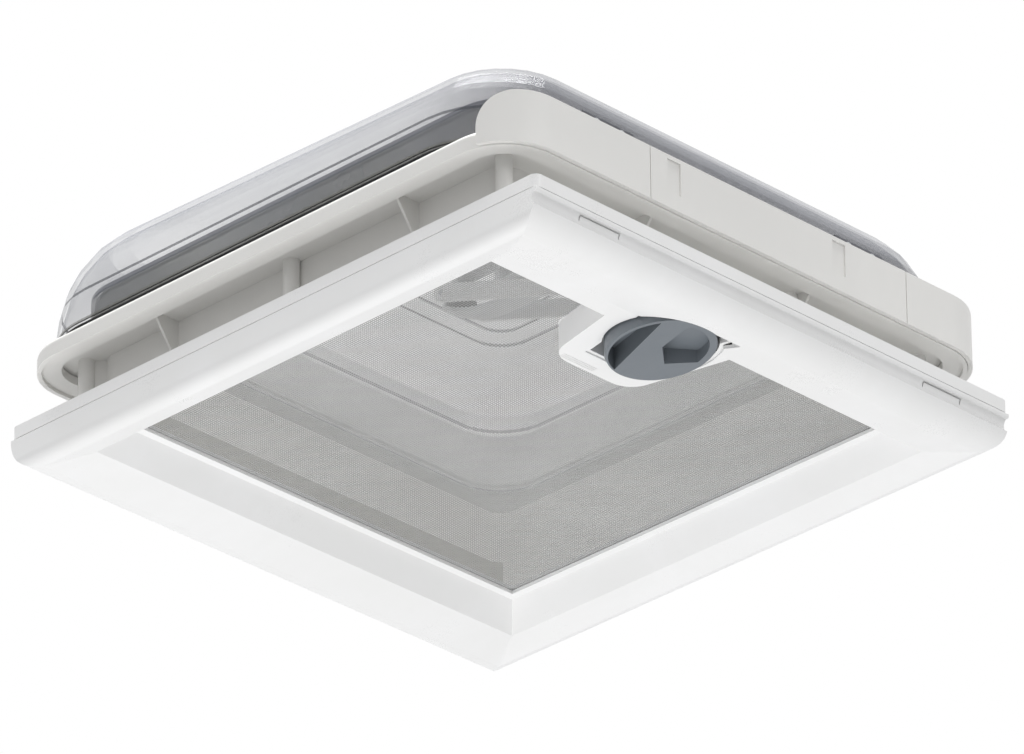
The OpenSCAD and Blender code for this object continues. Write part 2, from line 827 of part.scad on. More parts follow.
module screen_net() {
    pitch = [(screen_x1 - screen_x0) / net_gaps, 2 * screen_y / net_gaps];
    strand = pitch * net_strand_share;
    color([0.55, 0.55, 0.55]) slab(net_z, net_z + net_t) difference() {
        screen_plan(net_lap);
        difference() {
            for (i = [0 : net_gaps - 1], j = [0 : net_gaps - 1])
                translate([screen_x0 + i * pitch[0], -screen_y + j * pitch[1]] + strand / 2)
                    square(pitch - strand);
            bay_plan(-ledge_w / 2);
        }
    }
}

module screen_frame() {
    color([0.4, 0.41, 0.42]) slab(net_z + net_t, net_z + net_t + trim_t) difference() {
        screen_plan(net_lap);
        sheet(screen_x0, screen_x1, -screen_y, screen_y, ceiling_r);
        bay_plan(-ledge_w / 2);
    }
}

// Lift drive

housing_y0 = knob_y - housing_w / 2;
housing_y1 = knob_y + housing_w / 2;
housing_x0 = shaft_x - hub_d / 2 - trim_t;
housing_x1 = collar_in - 2 * side_gap;
housing_z = pocket_z + trim_t;
lug_x = (housing_x0 + housing_x1) / 2;

module drive_housing() {
    color([0.3, 0.31, 0.32]) difference() {
        union() {
            translate([0, housing_y1, 0]) rotate([90, 0, 0]) linear_extrude(housing_w) union() {
                translate([shaft_x, shaft_z]) circle(hub_d / 2 + trim_t);
                translate([housing_x0, housing_z]) square([housing_x1 - housing_x0, shaft_z - housing_z]);
                translate([shaft_x, shaft_z - over])
                    square([housing_x1 - shaft_x, hub_d / 2 + trim_t + over]);
            }
            for (y = [housing_y0 - head_d, housing_y1]) translate([lug_x - head_d / 2, y, housing_z])
                cube([head_d, head_d, trim_t]);
        }
        y_bar(shaft_x, shaft_z, housing_y0 - over, housing_y1 + over, shaft_d + 2 * fit);
        translate([knob_x, knob_y, housing_z - over])
            cylinder(h = spindle_up - housing_z + over, d = spindle_d + 2 * fit);
        for (y = [housing_y0 - head_d / 2, housing_y1 + head_d / 2]) translate([lug_x, y, housing_z - over])
            cylinder(h = trim_t + 2 * over, d = screw_d + 2 * fit);
    }
}

spindle_up = shaft_z + hub_d / 2;

module housing_screws() {
    color([0.75, 0.76, 0.78]) for (y = [housing_y0 - head_d / 2, housing_y1 + head_d / 2])
        translate([lug_x, y, housing_z + trim_t]) pan_screw(trim_t);
}

// Knob

knob_r = knob_d / 2;
knob_z0 = trim_z - knob_out;
knob_z1 = pocket_z - side_gap;
knob_edge = 3;
spindle_clear = 1;

// Outline of the thumb hollow, in shares of the knob's radius
thumb_shares = [[0.09, -0.06], [0.73, -0.15], [1.1, 0.1], [1.1, 0.9], [0.25, 1.1], [-0.28, 0.38]];

// The knob's drum, whose face slants
module knob_body() {
    drop = knob_r * tan(face_slant);
    intersection() {
        rotate_extrude() polygon([
            [0, knob_z0 - drop], [knob_r - knob_edge / 2, knob_z0 - drop],
            [knob_r, knob_z0 - drop + knob_edge], [knob_r, knob_z1], [0, knob_z1]
        ]);
        rotate([0, 0, face_turn]) rotate([90, 0, 0]) linear_extrude(2 * knob_r + 2 * over, center = true)
            polygon([
                [-knob_r, knob_z0 - drop], [knob_r, knob_z0 + drop], [knob_r, knob_z1 + over],
                [-knob_r, knob_z1 + over]
            ]);
    }
}

// The crescent hollow lies between a straight edge and the rim
module crescent_plan() {
    intersection() {
        circle(knob_r - rim_t);
        rotate([0, 0, crescent_turn]) translate([-knob_r, crescent_in]) square([2 * knob_r, knob_r]);
    }
}

module thumb_plan() {
    intersection() {
        circle(knob_r - thumb_rim_t);
        polygon(knob_r * thumb_shares);
    }
}

module knob() {
    low = knob_z0 - knob_r;
    color([0.44, 0.47, 0.49]) translate([knob_x, knob_y, 0]) difference() {
        knob_body();
        slab(low, knob_z0 + hollow_h) crescent_plan();
        slab(low, knob_z0 + hollow_h) thumb_plan();
        translate([0, 0, knob_z1 - spindle_seat]) cylinder(h = spindle_seat + over, d = spindle_d);
    }
}

spindle_seat = 7;

module knob_spindle() {
    color([0.72, 0.73, 0.75]) translate([knob_x, knob_y, knob_z1 - spindle_seat])
        cylinder(h = spindle_up - spindle_clear - knob_z1 + spindle_seat, d = spindle_d);
}

module spindle_clip() {
    color([0.72, 0.73, 0.75]) cross_ring();
}

// Retaining rings on the ends of the cross shaft
module cross_ring() {
    for (s = [-1, 1]) translate([0, knob_y + s * (shaft_half - over), 0]) difference() {
        y_bar(shaft_x, shaft_z, -over / 2, over / 2, shaft_d + 2 * over);
        y_bar(shaft_x, shaft_z, -over, over, shaft_d);
    }
}

arm_y = housing_w / 2 + side_gap;
shaft_half = arm_y + arm_t + 2 * over;

module cross_shaft() {
    color([0.72, 0.73, 0.75]) y_bar(shaft_x, shaft_z, knob_y - shaft_half, knob_y + shaft_half, shaft_d);
}

// Lift arms

arm_angle = asin((roller_z - shaft_z) / arm_l);
roller_x = shaft_x - arm_l * cos(arm_angle);

module arm_side(y0, y1) {
    color([0.72, 0.73, 0.75]) difference() {
        translate([shaft_x, y1, shaft_z]) rotate([90, arm_angle - 180, 0]) linear_extrude(y1 - y0) union() {
            circle(d = hub_d);
            translate([0, -arm_w / 2]) square([arm_l, arm_w]);
            translate([arm_l, 0]) circle(d = arm_w);
        }
        y_bar(shaft_x, shaft_z, y0 - over, y1 + over, shaft_d);
        y_bar(roller_x, roller_z, y0 - over, y1 + over, roller_pin_d);
    }
}

roller_pin_d = 4;

module lift_arm_near() {
    arm_side(knob_y - arm_y - arm_t, knob_y - arm_y);
}

module lift_arm_far() {
    arm_side(knob_y + arm_y, knob_y + arm_y + arm_t);
}

module roller_pin() {
    reach = arm_y + arm_t;
    color([0.72, 0.73, 0.75]) y_bar(roller_x, roller_z, knob_y - reach, knob_y + reach, roller_pin_d);
}

track_w = 16;

module roller() {
    color([0.15, 0.15, 0.16]) difference() {
        y_bar(roller_x, roller_z, knob_y - track_w / 2, knob_y + track_w / 2, roller_d);
        y_bar(roller_x, roller_z, knob_y - track_w, knob_y + track_w, roller_pin_d + 2 * fit);
    }
}

// Track under the pane

// Roller's place as the dome sees it when it stands open by an angle
function arm_end(a) = [
    shaft_x - arm_l * cos(arm_angle + arm_ratio * a) - axis_x,
    shaft_z + arm_l * sin(arm_angle + arm_ratio * a) - axis_z
];
function in_dome(p, a) = [
    axis_x + p[0] * cos(a) - p[1] * sin(a),
    axis_z + p[0] * sin(a) + p[1] * cos(a)
];
track_steps = 16;
track_line = [
    for (i = [0 : track_steps]) let (a = i * open_angle / track_steps) in_dome(arm_end(a), a)
];
function unit(v) = v / norm(v);
function track_run(e) = concat(
    [track_line[0] + e * unit(track_line[0] - track_line[1])],
    track_line,
    [track_line[track_steps] + e * unit(track_line[track_steps] - track_line[track_steps - 1])]
);
function side_of(v, u) = [
    for (i = [0 : len(v) - 1]) let (d = unit(v[min(i + 1, len(v) - 1)] - v[max(i - 1, 0)]))
        v[i] + u * [-d[1], d[0]]
];
function reversed(v) = [for (i = [len(v) - 1 : -1 : 0]) v[i]];
track_in = roller_d / 2 + roller_gap;
track_out = track_in + track_t;

module track_band(u) {
    run = track_run(u);
    polygon(concat(side_of(run, u), reversed(side_of(run, -u))));
}

// Extrudes a side view along Y, over a width round the knob's line
module along_y(w) {
    translate([0, knob_y + w / 2, 0]) rotate([90, 0, 0]) linear_extrude(w) children();
}

// The curved track with its posts and its foot under the pane
module lift_track() {
    x0 = track_line[0][0] - track_out;
    x1 = track_line[track_steps][0] + track_out;
    foot_z = pane_top_z - pane_t - track_t;
    w = track_w + 2 * side_gap;
    color([0.3, 0.31, 0.32]) difference() {
        union() {
            along_y(w) track_band(track_out);
            along_y(w) translate([x0, foot_z]) square([x1 - x0, track_t]);
            for (i = [0, track_steps / 2, track_steps])
                along_y(w - track_t) translate([track_line[i][0] - track_t, track_line[i][1]])
                    square([2 * track_t, foot_z + track_t / 2 - track_line[i][1]]);
        }
        along_y(w + 2 * over) track_band(track_in);
    }
}

// Dome

dome_mid = (dome_front - dome_reach) / 2;
dome_span = dome_front + dome_reach;

// One ring of the dome; t draws the inner face in by the wall
function dome_ring(k, t) = let (
        side = flank_w * flank_in_shares[k] + t,
        front = flank_w * front_in_shares[k] + t,
        r = dome_r - corner_share * flank_w * flank_in_shares[k] - t,
        z = dome_rise * flank_up_shares[k] - (k == 0 ? 0 : t),
        x0 = -dome_reach + side,
        x1 = dome_front - front,
        y1 = dome_reach - side,
        c = [[x1 - r, y1 - r], [x0 + r, y1 - r], [x0 + r, -y1 + r], [x1 - r, -y1 + r]]
    ) [
        for (q = [0 : 3], i = [0 : corner_steps]) let (
            a = 90 * q + 90 * i / corner_steps,
            x = c[q][0] + r * cos(a),
            y = c[q][1] + r * sin(a)
        ) [x, y, shell_z + z * (1 - slope_share * (x + dome_reach) / dome_span)]
    ];

module dome_outer() {
    rings = len(flank_in_shares);
    n = 4 * (corner_steps + 1);
    pts = concat(
        [for (k = [0 : rings - 1]) each dome_ring(k, 0)],
        [for (k = [0 : rings - 1]) each dome_ring(k, dome_t)]
    );
    color([0.6, 0.62, 0.65, 0.6]) polyhedron(pts, concat(
        [for (k = [0 : rings - 2], i = [0 : n - 1]) each let (
            a = k * n + i, b = k * n + (i + 1) % n, c = a + n, d = b + n
        ) [[a, c, b], [b, c, d]]],
        [for (k = [0 : rings - 2], i = [0 : n - 1]) each let (
            a = (rings + k) * n + i, b = (rings + k) * n + (i + 1) % n, c = a + n, d = b + n
        ) [[a, b, c], [b, d, c]]],
        [for (i = [0 : n - 1]) each let (
            a = i, b = (i + 1) % n, c = rings * n + i, d = rings * n + (i + 1) % n
        ) [[a, b, c], [b, d, c]]],
        [[for (i = [n - 1 : -1 : 0]) (rings - 1) * n + i]],
        [[for (i = [0 : n - 1]) (2 * rings - 1) * n + i]]
    ));
}

module pane_levels(t, low) {
    slab(low, pane_wall_z - t) square_sheet(pane_half - t, pane_r - t);
    slab(low, pane_bead_z - t) square_sheet(pane_half - bead_in - t, pane_r - bead_in - t);
    slab(low, pane_top_z - t) square_sheet(field_half - t, pane_r - t);
    for (k = [1 : terraces])
        slab(low, pane_top_z + k * terrace_rise - t)
            square_sheet(terrace_half - (k - 1) * terrace_in - t, (terrace_half - k * terrace_in) / 2);
}

module dome_pane() {
    color([0.5, 0.52, 0.55, 0.6]) difference() {
        union() {
            slab(rim_z, shell_z) dome_sheet(0);
            pane_levels(0, rim_z);
        }
        pane_levels(pane_t, rim_z - over);
    }
}

outer_frame();
dome_seal();
wind_deflector();
deflector_screws();
hinge_bases();
hinge_pins();
ceiling_frame();
clamp_screws();
inside_trim();
screen_net();
screen_frame();
drive_housing();
housing_screws();
knob();
knob_spindle();
spindle_clip();
cross_shaft();
lift_arm_near();
lift_arm_far();
roller();
roller_pin();
dome_outer();
dome_pane();
hinge_leaf_near();
hinge_leaf_far();
leaf_screws();
lift_track();
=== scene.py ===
import json
import math

import bmesh
import bpy
from mathutils import Matrix, Vector


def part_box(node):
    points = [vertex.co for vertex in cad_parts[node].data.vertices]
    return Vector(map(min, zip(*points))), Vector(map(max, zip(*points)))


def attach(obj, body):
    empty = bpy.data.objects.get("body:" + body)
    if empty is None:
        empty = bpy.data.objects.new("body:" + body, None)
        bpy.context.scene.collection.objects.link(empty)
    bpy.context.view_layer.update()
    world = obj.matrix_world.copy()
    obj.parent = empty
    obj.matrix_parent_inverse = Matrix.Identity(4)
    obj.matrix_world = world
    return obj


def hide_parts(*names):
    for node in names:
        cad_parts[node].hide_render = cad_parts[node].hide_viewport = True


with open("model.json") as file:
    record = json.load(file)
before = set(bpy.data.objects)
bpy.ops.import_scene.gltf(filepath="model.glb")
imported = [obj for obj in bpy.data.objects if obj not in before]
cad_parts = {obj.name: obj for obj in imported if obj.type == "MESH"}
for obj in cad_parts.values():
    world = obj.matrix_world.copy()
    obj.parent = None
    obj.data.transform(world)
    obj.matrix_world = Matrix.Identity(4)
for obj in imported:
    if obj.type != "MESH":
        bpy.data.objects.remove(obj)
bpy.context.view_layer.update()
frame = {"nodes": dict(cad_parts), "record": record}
bpy.context.scene.view_settings.view_transform = "Standard"
nodes = frame["nodes"]
MM = 0.001

# Camera, fitted to the straight edges of both frames in the photo
PHOTO_WIDTH_PX = 1024.0
FOCAL_LENGTH_PX = 9863.0
SENSOR_MM = 36.0
CAMERA_AZIMUTH = math.radians(44.49)
CAMERA_ELEVATION = math.radians(-28.0)
CAMERA_ROLL = math.radians(-0.53)
CAMERA_DISTANCE = 6.392
CAMERA_SHIFT_RIGHT = 0.00619
CAMERA_SHIFT_DOWN = 0.00271
NEAREST_SEEN, FARTHEST_SEEN = 0.05, 60.0


def add_camera():
    back = Vector((
        math.sin(CAMERA_AZIMUTH) * math.cos(CAMERA_ELEVATION),
        -math.cos(CAMERA_AZIMUTH) * math.cos(CAMERA_ELEVATION),
        math.sin(CAMERA_ELEVATION)))
    level_right = Vector((math.cos(CAMERA_AZIMUTH), math.sin(CAMERA_AZIMUTH), 0.0))
    level_up = back.cross(level_right)
    right = level_right * math.cos(CAMERA_ROLL) + level_up * math.sin(CAMERA_ROLL)
    up = level_up * math.cos(CAMERA_ROLL) - level_right * math.sin(CAMERA_ROLL)
    data = bpy.data.cameras.new("camera")
    data.sensor_width = SENSOR_MM
    data.lens = SENSOR_MM * FOCAL_LENGTH_PX / PHOTO_WIDTH_PX
    data.clip_start, data.clip_end = NEAREST_SEEN, FARTHEST_SEEN
    camera = bpy.data.objects.new("camera", data)
    bpy.context.scene.collection.objects.link(camera)
    camera.location = back * CAMERA_DISTANCE + right * CAMERA_SHIFT_RIGHT - up * CAMERA_SHIFT_DOWN
    camera.rotation_euler = Matrix((right, up, back)).transposed().to_euler()
    bpy.context.scene.camera = camera


add_camera()

# Sockets of a Mix node that mixes two colours
MIX_FACTOR, MIX_FIRST, MIX_SECOND = 0, 6, 7
MIX_RESULT = 2

# Most of a noise's values lie between these two
NOISE_LOW, NOISE_HIGH = 0.35, 0.65


def colour(red, green, blue):
    """A colour given as on a screen (sRGB, 0 to 255 a part), in the linear values that Blender takes."""
    def linear(part):
        part /= 255.0
        return part / 12.92 if part <= 0.04045 else ((part + 0.055) / 1.055) ** 2.4
    return (linear(red), linear(green), linear(blue), 1.0)


def scaled(shade, share):
    """A colour made darker, to a share of its light."""
    return tuple(share * part for part in shade[:3]) + (1.0,)


class Tree:
    """A material with its node tree and short calls to add to it."""

    def __init__(self, name):
        self.material = bpy.data.materials.new(name)
        self.material.use_nodes = True
        self.node_tree = self.material.node_tree
        self.node_tree.nodes.clear()
        self.out = self.add("ShaderNodeOutputMaterial")
        self.place = self.add("ShaderNodeTexCoord").outputs["Object"]

    def add(self, kind, **values):
        node = self.node_tree.nodes.new(kind)
        for key, value in values.items():
            setattr(node, key, value)
        return node

    def link(self, source, target):
        self.node_tree.links.new(source, target)

    def feed(self, target, value):
        """Gives an input a fixed value, or links it to another node's output."""
        if isinstance(value, (int, float, tuple)):
            target.default_value = value
        else:
            self.link(value, target)

    def stretched(self, scale):
        """The place on the piece, with its own scale along each axis."""
        mapping = self.add("ShaderNodeMapping")
        mapping.inputs["Scale"].default_value = scale
        self.link(self.place, mapping.inputs["Vector"])
        return mapping.outputs["Vector"]

    def noise(self, scale, detail, rough, vector=None, distortion=0.0):
        node = self.add("ShaderNodeTexNoise")
        node.inputs["Scale"].default_value = scale
        node.inputs["Detail"].default_value = detail
        node.inputs["Roughness"].default_value = rough
        node.inputs["Distortion"].default_value = distortion
        self.link(vector or self.place, node.inputs["Vector"])
        return node.outputs["Fac"]

    def ranged(self, value, low=0.0, high=1.0, start=NOISE_LOW, end=NOISE_HIGH, smooth=False):
        """Takes the values from start to end to those from low to high."""
        node = self.add("ShaderNodeMapRange", interpolation_type="SMOOTHSTEP" if smooth else "LINEAR")
        node.inputs["From Min"].default_value = start
        node.inputs["From Max"].default_value = end
        node.inputs["To Min"].default_value = low
        node.inputs["To Max"].default_value = high
        self.link(value, node.inputs["Value"])
        return node.outputs["Result"]

    def mixed(self, factor, first, second):
        node = self.add("ShaderNodeMix", data_type="RGBA")
        self.feed(node.inputs[MIX_FIRST], first)
        self.feed(node.inputs[MIX_SECOND], second)
        self.feed(node.inputs[MIX_FACTOR], factor)
        return node.outputs[MIX_RESULT]

    def maths(self, operation, first, second):
        node = self.add("ShaderNodeMath", operation=operation)
        self.feed(node.inputs[0], first)
        self.feed(node.inputs[1], second)
        return node.outputs[0]

    def both(self, first, second):
        """A mask of the places that two masks share."""
        return self.maths("MULTIPLY", first, second)

    def outside(self, mask):
        """A mask of all the places that another one leaves out."""
        return self.maths("SUBTRACT", 1.0, mask)

    def bump(self, height, strength, distance, normal=None):
        node = self.add("ShaderNodeBump")
        node.inputs["Strength"].default_value = strength
        node.inputs["Distance"].default_value = distance
        self.link(height, node.inputs["Height"])
        if normal is not None:
            self.link(normal, node.inputs["Normal"])
        return node.outputs["Normal"]

    def principled(self):
        shader = self.add("ShaderNodeBsdfPrincipled")
        self.link(shader.outputs[0], self.out.inputs["Surface"])
        return shader


# Masks, in the piece's own coordinates, so that they ride with a joint
STEEP_BELOW = 0.6


def own_normal(tree):
    """The face normal in the piece's own coordinates."""
    turn = tree.add("ShaderNodeVectorTransform",
                    vector_type="NORMAL", convert_from="WORLD", convert_to="OBJECT")
    tree.link(tree.add("ShaderNodeNewGeometry").outputs["True Normal"], turn.inputs[0])
    return turn.outputs[0]


def part_of(tree, vector, axis):
    split = tree.add("ShaderNodeSeparateXYZ")
    tree.link(vector, split.inputs[0])
    return split.outputs[axis]


def outward(tree):
    """1 on faces that look away from the vent's middle line, 0 on those that look in."""
    flat = tree.add("ShaderNodeVectorMath", operation="MULTIPLY")
    flat.inputs[1].default_value = (1.0, 1.0, 0.0)
    tree.link(tree.place, flat.inputs[0])
    dot = tree.add("ShaderNodeVectorMath", operation="DOT_PRODUCT")
    tree.link(flat.outputs[0], dot.inputs[0])
    tree.link(own_normal(tree), dot.inputs[1])
    away = tree.maths("GREATER_THAN", dot.outputs["Value"], 0.0)
    turned = tree.add("ShaderNodeNewGeometry").outputs["Backfacing"]
    front = tree.both(away, tree.outside(turned))
    return tree.maths("ADD", front, tree.both(tree.outside(away), turned))


def between(tree, axis, low, high):
    """1 where a place's coordinate lies between two values, 0 elsewhere."""
    place = part_of(tree, tree.place, axis)
    return tree.both(tree.maths("GREATER_THAN", place, low), tree.maths("LESS_THAN", place, high))


def towards(tree, axis, start, end):
    """0 before one value of a coordinate, 1 after another, and smooth between them."""
    return tree.ranged(part_of(tree, tree.place, axis), start=start, end=end, smooth=True)


def upright_share(tree):
    """The normal's upright part, without its sign: 1 on level faces and 0 on standing ones."""
    return tree.maths("ABSOLUTE", part_of(tree, own_normal(tree), "Z"), 0.0)


def leaning(tree, flat, standing):
    """0 on flat faces, 1 on standing ones, and smooth between two values of the normal's upright part."""
    return tree.ranged(upright_share(tree), start=flat, end=standing, smooth=True)


def steep(tree, low, high):
    """1 on steep faces between two heights, 0 elsewhere."""
    standing = tree.maths("LESS_THAN", upright_share(tree), STEEP_BELOW)
    return tree.both(standing, between(tree, "Z", low, high))


def level(tree, low, high):
    """1 on flat faces between two heights, 0 elsewhere."""
    return tree.both(between(tree, "Z", low, high), tree.outside(steep(tree, low, high)))


def lined(tree, low, high):
    """1 on the outer steep faces between two heights, 0 elsewhere."""
    return tree.both(outward(tree), steep(tree, low, high))


# Kinds of finish: how deep their relief is, and how much their gloss, haze and edges vary
PLASTIC_IOR = 1.48
GRAIN_DEPTH = 0.06 * MM
FINE_GRAIN_DEPTH = 0.04 * MM
WAVE_DEPTH = 0.6 * MM
FLOW_SHARE = 0.35
FINE_SHARE, PATCH_SHARE = 0.4, 0.6
SHEEN_SPREAD = 0.08
STREAK_DEPTH = 0.04 * MM
STREAK_SMOOTHER, STREAK_ROUGHER = 0.08, 0.14
CELLS_PER_METRE = 1400.0
CELL_DEPTH = 0.12 * MM
ACRYLIC_IOR = 1.49
HAIRLINE_DEPTH = 0.02 * MM
HAZE_DEPTH = 0.4 * MM
ACRYLIC_SPECULAR = 0.12
EDGE_POWER = 4.8
EDGE_SHARE = 0.1
HAZE_SHARE = 0.82
HAZE_ALPHA = 0.02
ZONE_ALPHA = 0.04


def moulded(name, pale, dark, rough, grain=900.0, grain_depth=GRAIN_DEPTH, zone=None):
    """Injection-moulded plastic: fine spark grain, soft flow marks and a cloudy sheen.
    A zone (mask, colour) is a part of it with a colour of its own, used here for a painted shade."""
    tree = Tree(name)
    shader = tree.principled()
    shader.inputs["Base Color"].default_value = pale
    clouds = tree.noise(scale=7.0, detail=5.0, rough=0.6, distortion=0.6)
    flow = tree.noise(scale=1.0, detail=4.0, rough=0.55, vector=tree.stretched((9.0, 55.0, 30.0)))
    shade = tree.mixed(tree.ranged(clouds), pale, dark)
    shade = tree.mixed(tree.ranged(flow, high=FLOW_SHARE), shade, dark)
    if zone:
        mask, zone_colour = zone
        shade = tree.mixed(mask(tree), shade, zone_colour)
    tree.link(shade, shader.inputs["Base Color"])
    fine = tree.noise(scale=grain, detail=2.0, rough=0.6)
    patches = tree.noise(scale=26.0, detail=3.0, rough=0.5)
    sheen = tree.maths("ADD", tree.maths("MULTIPLY", fine, FINE_SHARE),
                       tree.maths("MULTIPLY", patches, PATCH_SHARE))
    tree.link(tree.ranged(sheen, low=rough - SHEEN_SPREAD, high=rough + SHEEN_SPREAD),
              shader.inputs["Roughness"])
    long_wave = tree.noise(scale=11.0, detail=2.0, rough=0.4)
    waved = tree.bump(long_wave, strength=0.12, distance=WAVE_DEPTH)
    tree.link(tree.bump(fine, strength=0.55, distance=grain_depth, normal=waved), shader.inputs["Normal"])
    shader.inputs["IOR"].default_value = PLASTIC_IOR
    return tree.material


def metal(name, pale, dark, rough):
    """Drawn steel of pins, screws and shafts: streaks along one axis and a faint spangle."""
    tree = Tree(name)
    shader = tree.principled()
    shader.inputs["Metallic"].default_value = 1.0
    streaks = tree.noise(scale=1.0, detail=4.0, rough=0.6, vector=tree.stretched((40.0, 900.0, 900.0)))
    spangle = tree.noise(scale=120.0, detail=3.0, rough=0.5)
    tree.link(tree.mixed(tree.ranged(spangle), pale, dark), shader.inputs["Base Color"])
    tree.link(tree.ranged(streaks, low=rough - STREAK_SMOOTHER, high=rough + STREAK_ROUGHER),
              shader.inputs["Roughness"])
    tree.link(tree.bump(streaks, strength=0.25, distance=STREAK_DEPTH), shader.inputs["Normal"])
    return tree.material


def rubber_like(name, pale, dark):
    """Foamed rubber: small cells and a dull, cloudy surface."""
    tree = Tree(name)
    shader = tree.principled()
    cells = tree.add("ShaderNodeTexVoronoi", feature="F1")
    cells.inputs["Scale"].default_value = CELLS_PER_METRE
    tree.link(tree.place, cells.inputs["Vector"])
    clouds = tree.noise(scale=40.0, detail=4.0, rough=0.6)
    tree.link(tree.mixed(tree.ranged(clouds), pale, dark), shader.inputs["Base Color"])
    tree.link(tree.ranged(clouds, low=0.72, high=0.92), shader.inputs["Roughness"])
    pitted = tree.bump(cells.outputs["Distance"], strength=0.5, distance=CELL_DEPTH)
    tree.link(pitted, shader.inputs["Normal"])
    return tree.material


def acrylic(name, tint, clear, edge, zones):
    """Thin smoked acrylic: clear face on, darker where the wall is seen edge on, with haze and hairlines.
    A zone (mask, colour, alpha) is a part of it with a shade and a density of its own."""
    tree = Tree(name)
    shader = tree.principled()
    shader.inputs["Base Color"].default_value = tint
    shader.inputs["IOR"].default_value = ACRYLIC_IOR
    shader.inputs["Specular IOR Level"].default_value = ACRYLIC_SPECULAR
    haze = tree.noise(scale=9.0, detail=4.0, rough=0.6)
    facing = tree.add("ShaderNodeLayerWeight")
    facing.inputs["Blend"].default_value = 0.5
    bend = tree.maths("POWER", facing.outputs["Facing"], EDGE_POWER)
    shade = tree.mixed(tree.ranged(haze), tint, scaled(tint, HAZE_SHARE))
    shade = tree.mixed(bend, shade, scaled(tint, EDGE_SHARE))
    alpha = tree.maths("ADD", tree.maths("MULTIPLY", bend, edge - clear),
                       tree.ranged(haze, low=clear - HAZE_ALPHA, high=clear + HAZE_ALPHA))
    for mask_in, zone_colour, density in zones:
        mask = mask_in(tree)
        shade = tree.mixed(mask, shade, zone_colour(tree) if callable(zone_colour) else zone_colour)
        dense = tree.ranged(haze, low=density - ZONE_ALPHA, high=density + ZONE_ALPHA)
        alpha = tree.maths("MAXIMUM", alpha, tree.maths("MULTIPLY", mask, dense))
    tree.link(shade, shader.inputs["Base Color"])
    tree.link(alpha, shader.inputs["Alpha"])
    tree.link(tree.ranged(haze, low=0.12, high=0.2), shader.inputs["Roughness"])
    hairlines = tree.noise(scale=1.0, detail=2.0, rough=0.5, vector=tree.stretched((30.0, 2500.0, 400.0)))
    waved = tree.bump(haze, strength=0.05, distance=HAZE_DEPTH)
    scratched = tree.bump(hairlines, strength=0.05, distance=HAIRLINE_DEPTH, normal=waved)
    tree.link(scratched, shader.inputs["Normal"])
    return tree.material


# The outer frame, with a painted shade: the darker band that the photo shows low on the collar's inside at
# the back
FRAME_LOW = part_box("outer_frame")[0]
SHADE_BAND_INSET = 39 * MM
SHADE_BAND_DEPTH = 10 * MM
SHADE_BAND_END_INSET = 45 * MM
SHADE_BAND_BELOW, SHADE_BAND_ABOVE = 23 * MM, 28 * MM
SHADE_BAND_X = FRAME_LOW.x + SHADE_BAND_INSET
SHADE_BAND_HALF_Y = -FRAME_LOW.y - SHADE_BAND_END_INSET


# Where the painted shade lies: on the collar's inner faces at the back, low down
def collar_painted_shade(tree):
    wall = tree.both(steep(tree, FRAME_LOW.z - SHADE_BAND_BELOW, FRAME_LOW.z + SHADE_BAND_ABOVE),
                     between(tree, "X", SHADE_BAND_X, SHADE_BAND_X + SHADE_BAND_DEPTH))
    wide = between(tree, "Y", -SHADE_BAND_HALF_Y, SHADE_BAND_HALF_Y)
    return tree.both(tree.outside(outward(tree)), tree.both(wall, wide))


# The zone's darker colour is painted shade, not a part of another colour
def white_outer_finish():
    return moulded("white_outer", colour(234, 233, 230), colour(228, 227, 224), rough=0.42,
                   zone=(collar_painted_shade, colour(176, 174, 167)))


def white_inner_finish():
    return moulded("white_inner", colour(246, 246, 246), colour(241, 241, 240), rough=0.34,
                   grain=1100.0, grain_depth=FINE_GRAIN_DEPTH)


def rubber_finish():
    return rubber_like("rubber", colour(20, 20, 21), colour(12, 12, 13))


def hinge_black_finish():
    return moulded("hinge_black", colour(96, 98, 104), colour(80, 82, 88), rough=0.38)


def steel_finish():
    return metal("steel", colour(205, 206, 208), colour(182, 184, 188), rough=0.3)


def net_finish():
    return moulded("net", colour(177, 177, 176), colour(161, 161, 160), rough=0.6, grain=2600.0)


def dark_plastic_finish():
    return moulded("dark_plastic", colour(212, 213, 215), colour(202, 203, 205), rough=0.45)


def black_plastic_finish():
    return moulded("black_plastic", colour(60, 61, 64), colour(48, 49, 52), rough=0.4)


def knob_grey_finish():
    return moulded("knob_grey", colour(124, 130, 136), colour(114, 120, 126), rough=0.36, grain=1300.0)


def arm_grey_finish():
    return moulded("arm_grey", colour(232, 232, 233), colour(224, 224, 225), rough=0.4)


# The outer dome: denser flanks, darker towards the hinge side, and the line round its side
DOME_LOW, DOME_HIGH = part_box("dome_outer")
TOP_UPRIGHT_SHARE, FLANK_UPRIGHT_SHARE = 0.99, 0.78
HALF_START_INSET, HALF_END_INSET = 187 * MM, 17 * MM
SIDE_START_INSET, SIDE_END_OVERRUN = 42 * MM, 5 * MM
DOME_LINE_UP = 21.9 * MM
DOME_LINE_WIDTH = 2.4 * MM
DOME_LINE_Z = DOME_LOW.z + DOME_LINE_UP


def dome_flank(tree):
    return leaning(tree, TOP_UPRIGHT_SHARE, FLANK_UPRIGHT_SHARE)


def hinge_half(tree):
    return towards(tree, "X", DOME_HIGH.x - HALF_START_INSET, DOME_HIGH.x - HALF_END_INSET)


def hinge_side(tree):
    return towards(tree, "X", DOME_HIGH.x - SIDE_START_INSET, DOME_HIGH.x + SIDE_END_OVERRUN)


def dome_line(tree):
    return lined(tree, DOME_LINE_Z, DOME_LINE_Z + DOME_LINE_WIDTH)


def smoked_finish():
    return acrylic("smoked", colour(150, 153, 162), clear=0.04, edge=0.8, zones=[
        (dome_flank, colour(138, 141, 150), 0.17),
        (hinge_half, colour(132, 134, 142), 0.3),
        (hinge_side, colour(108, 110, 117), 0.55),
        (dome_line, colour(78, 80, 86), 0.78)])


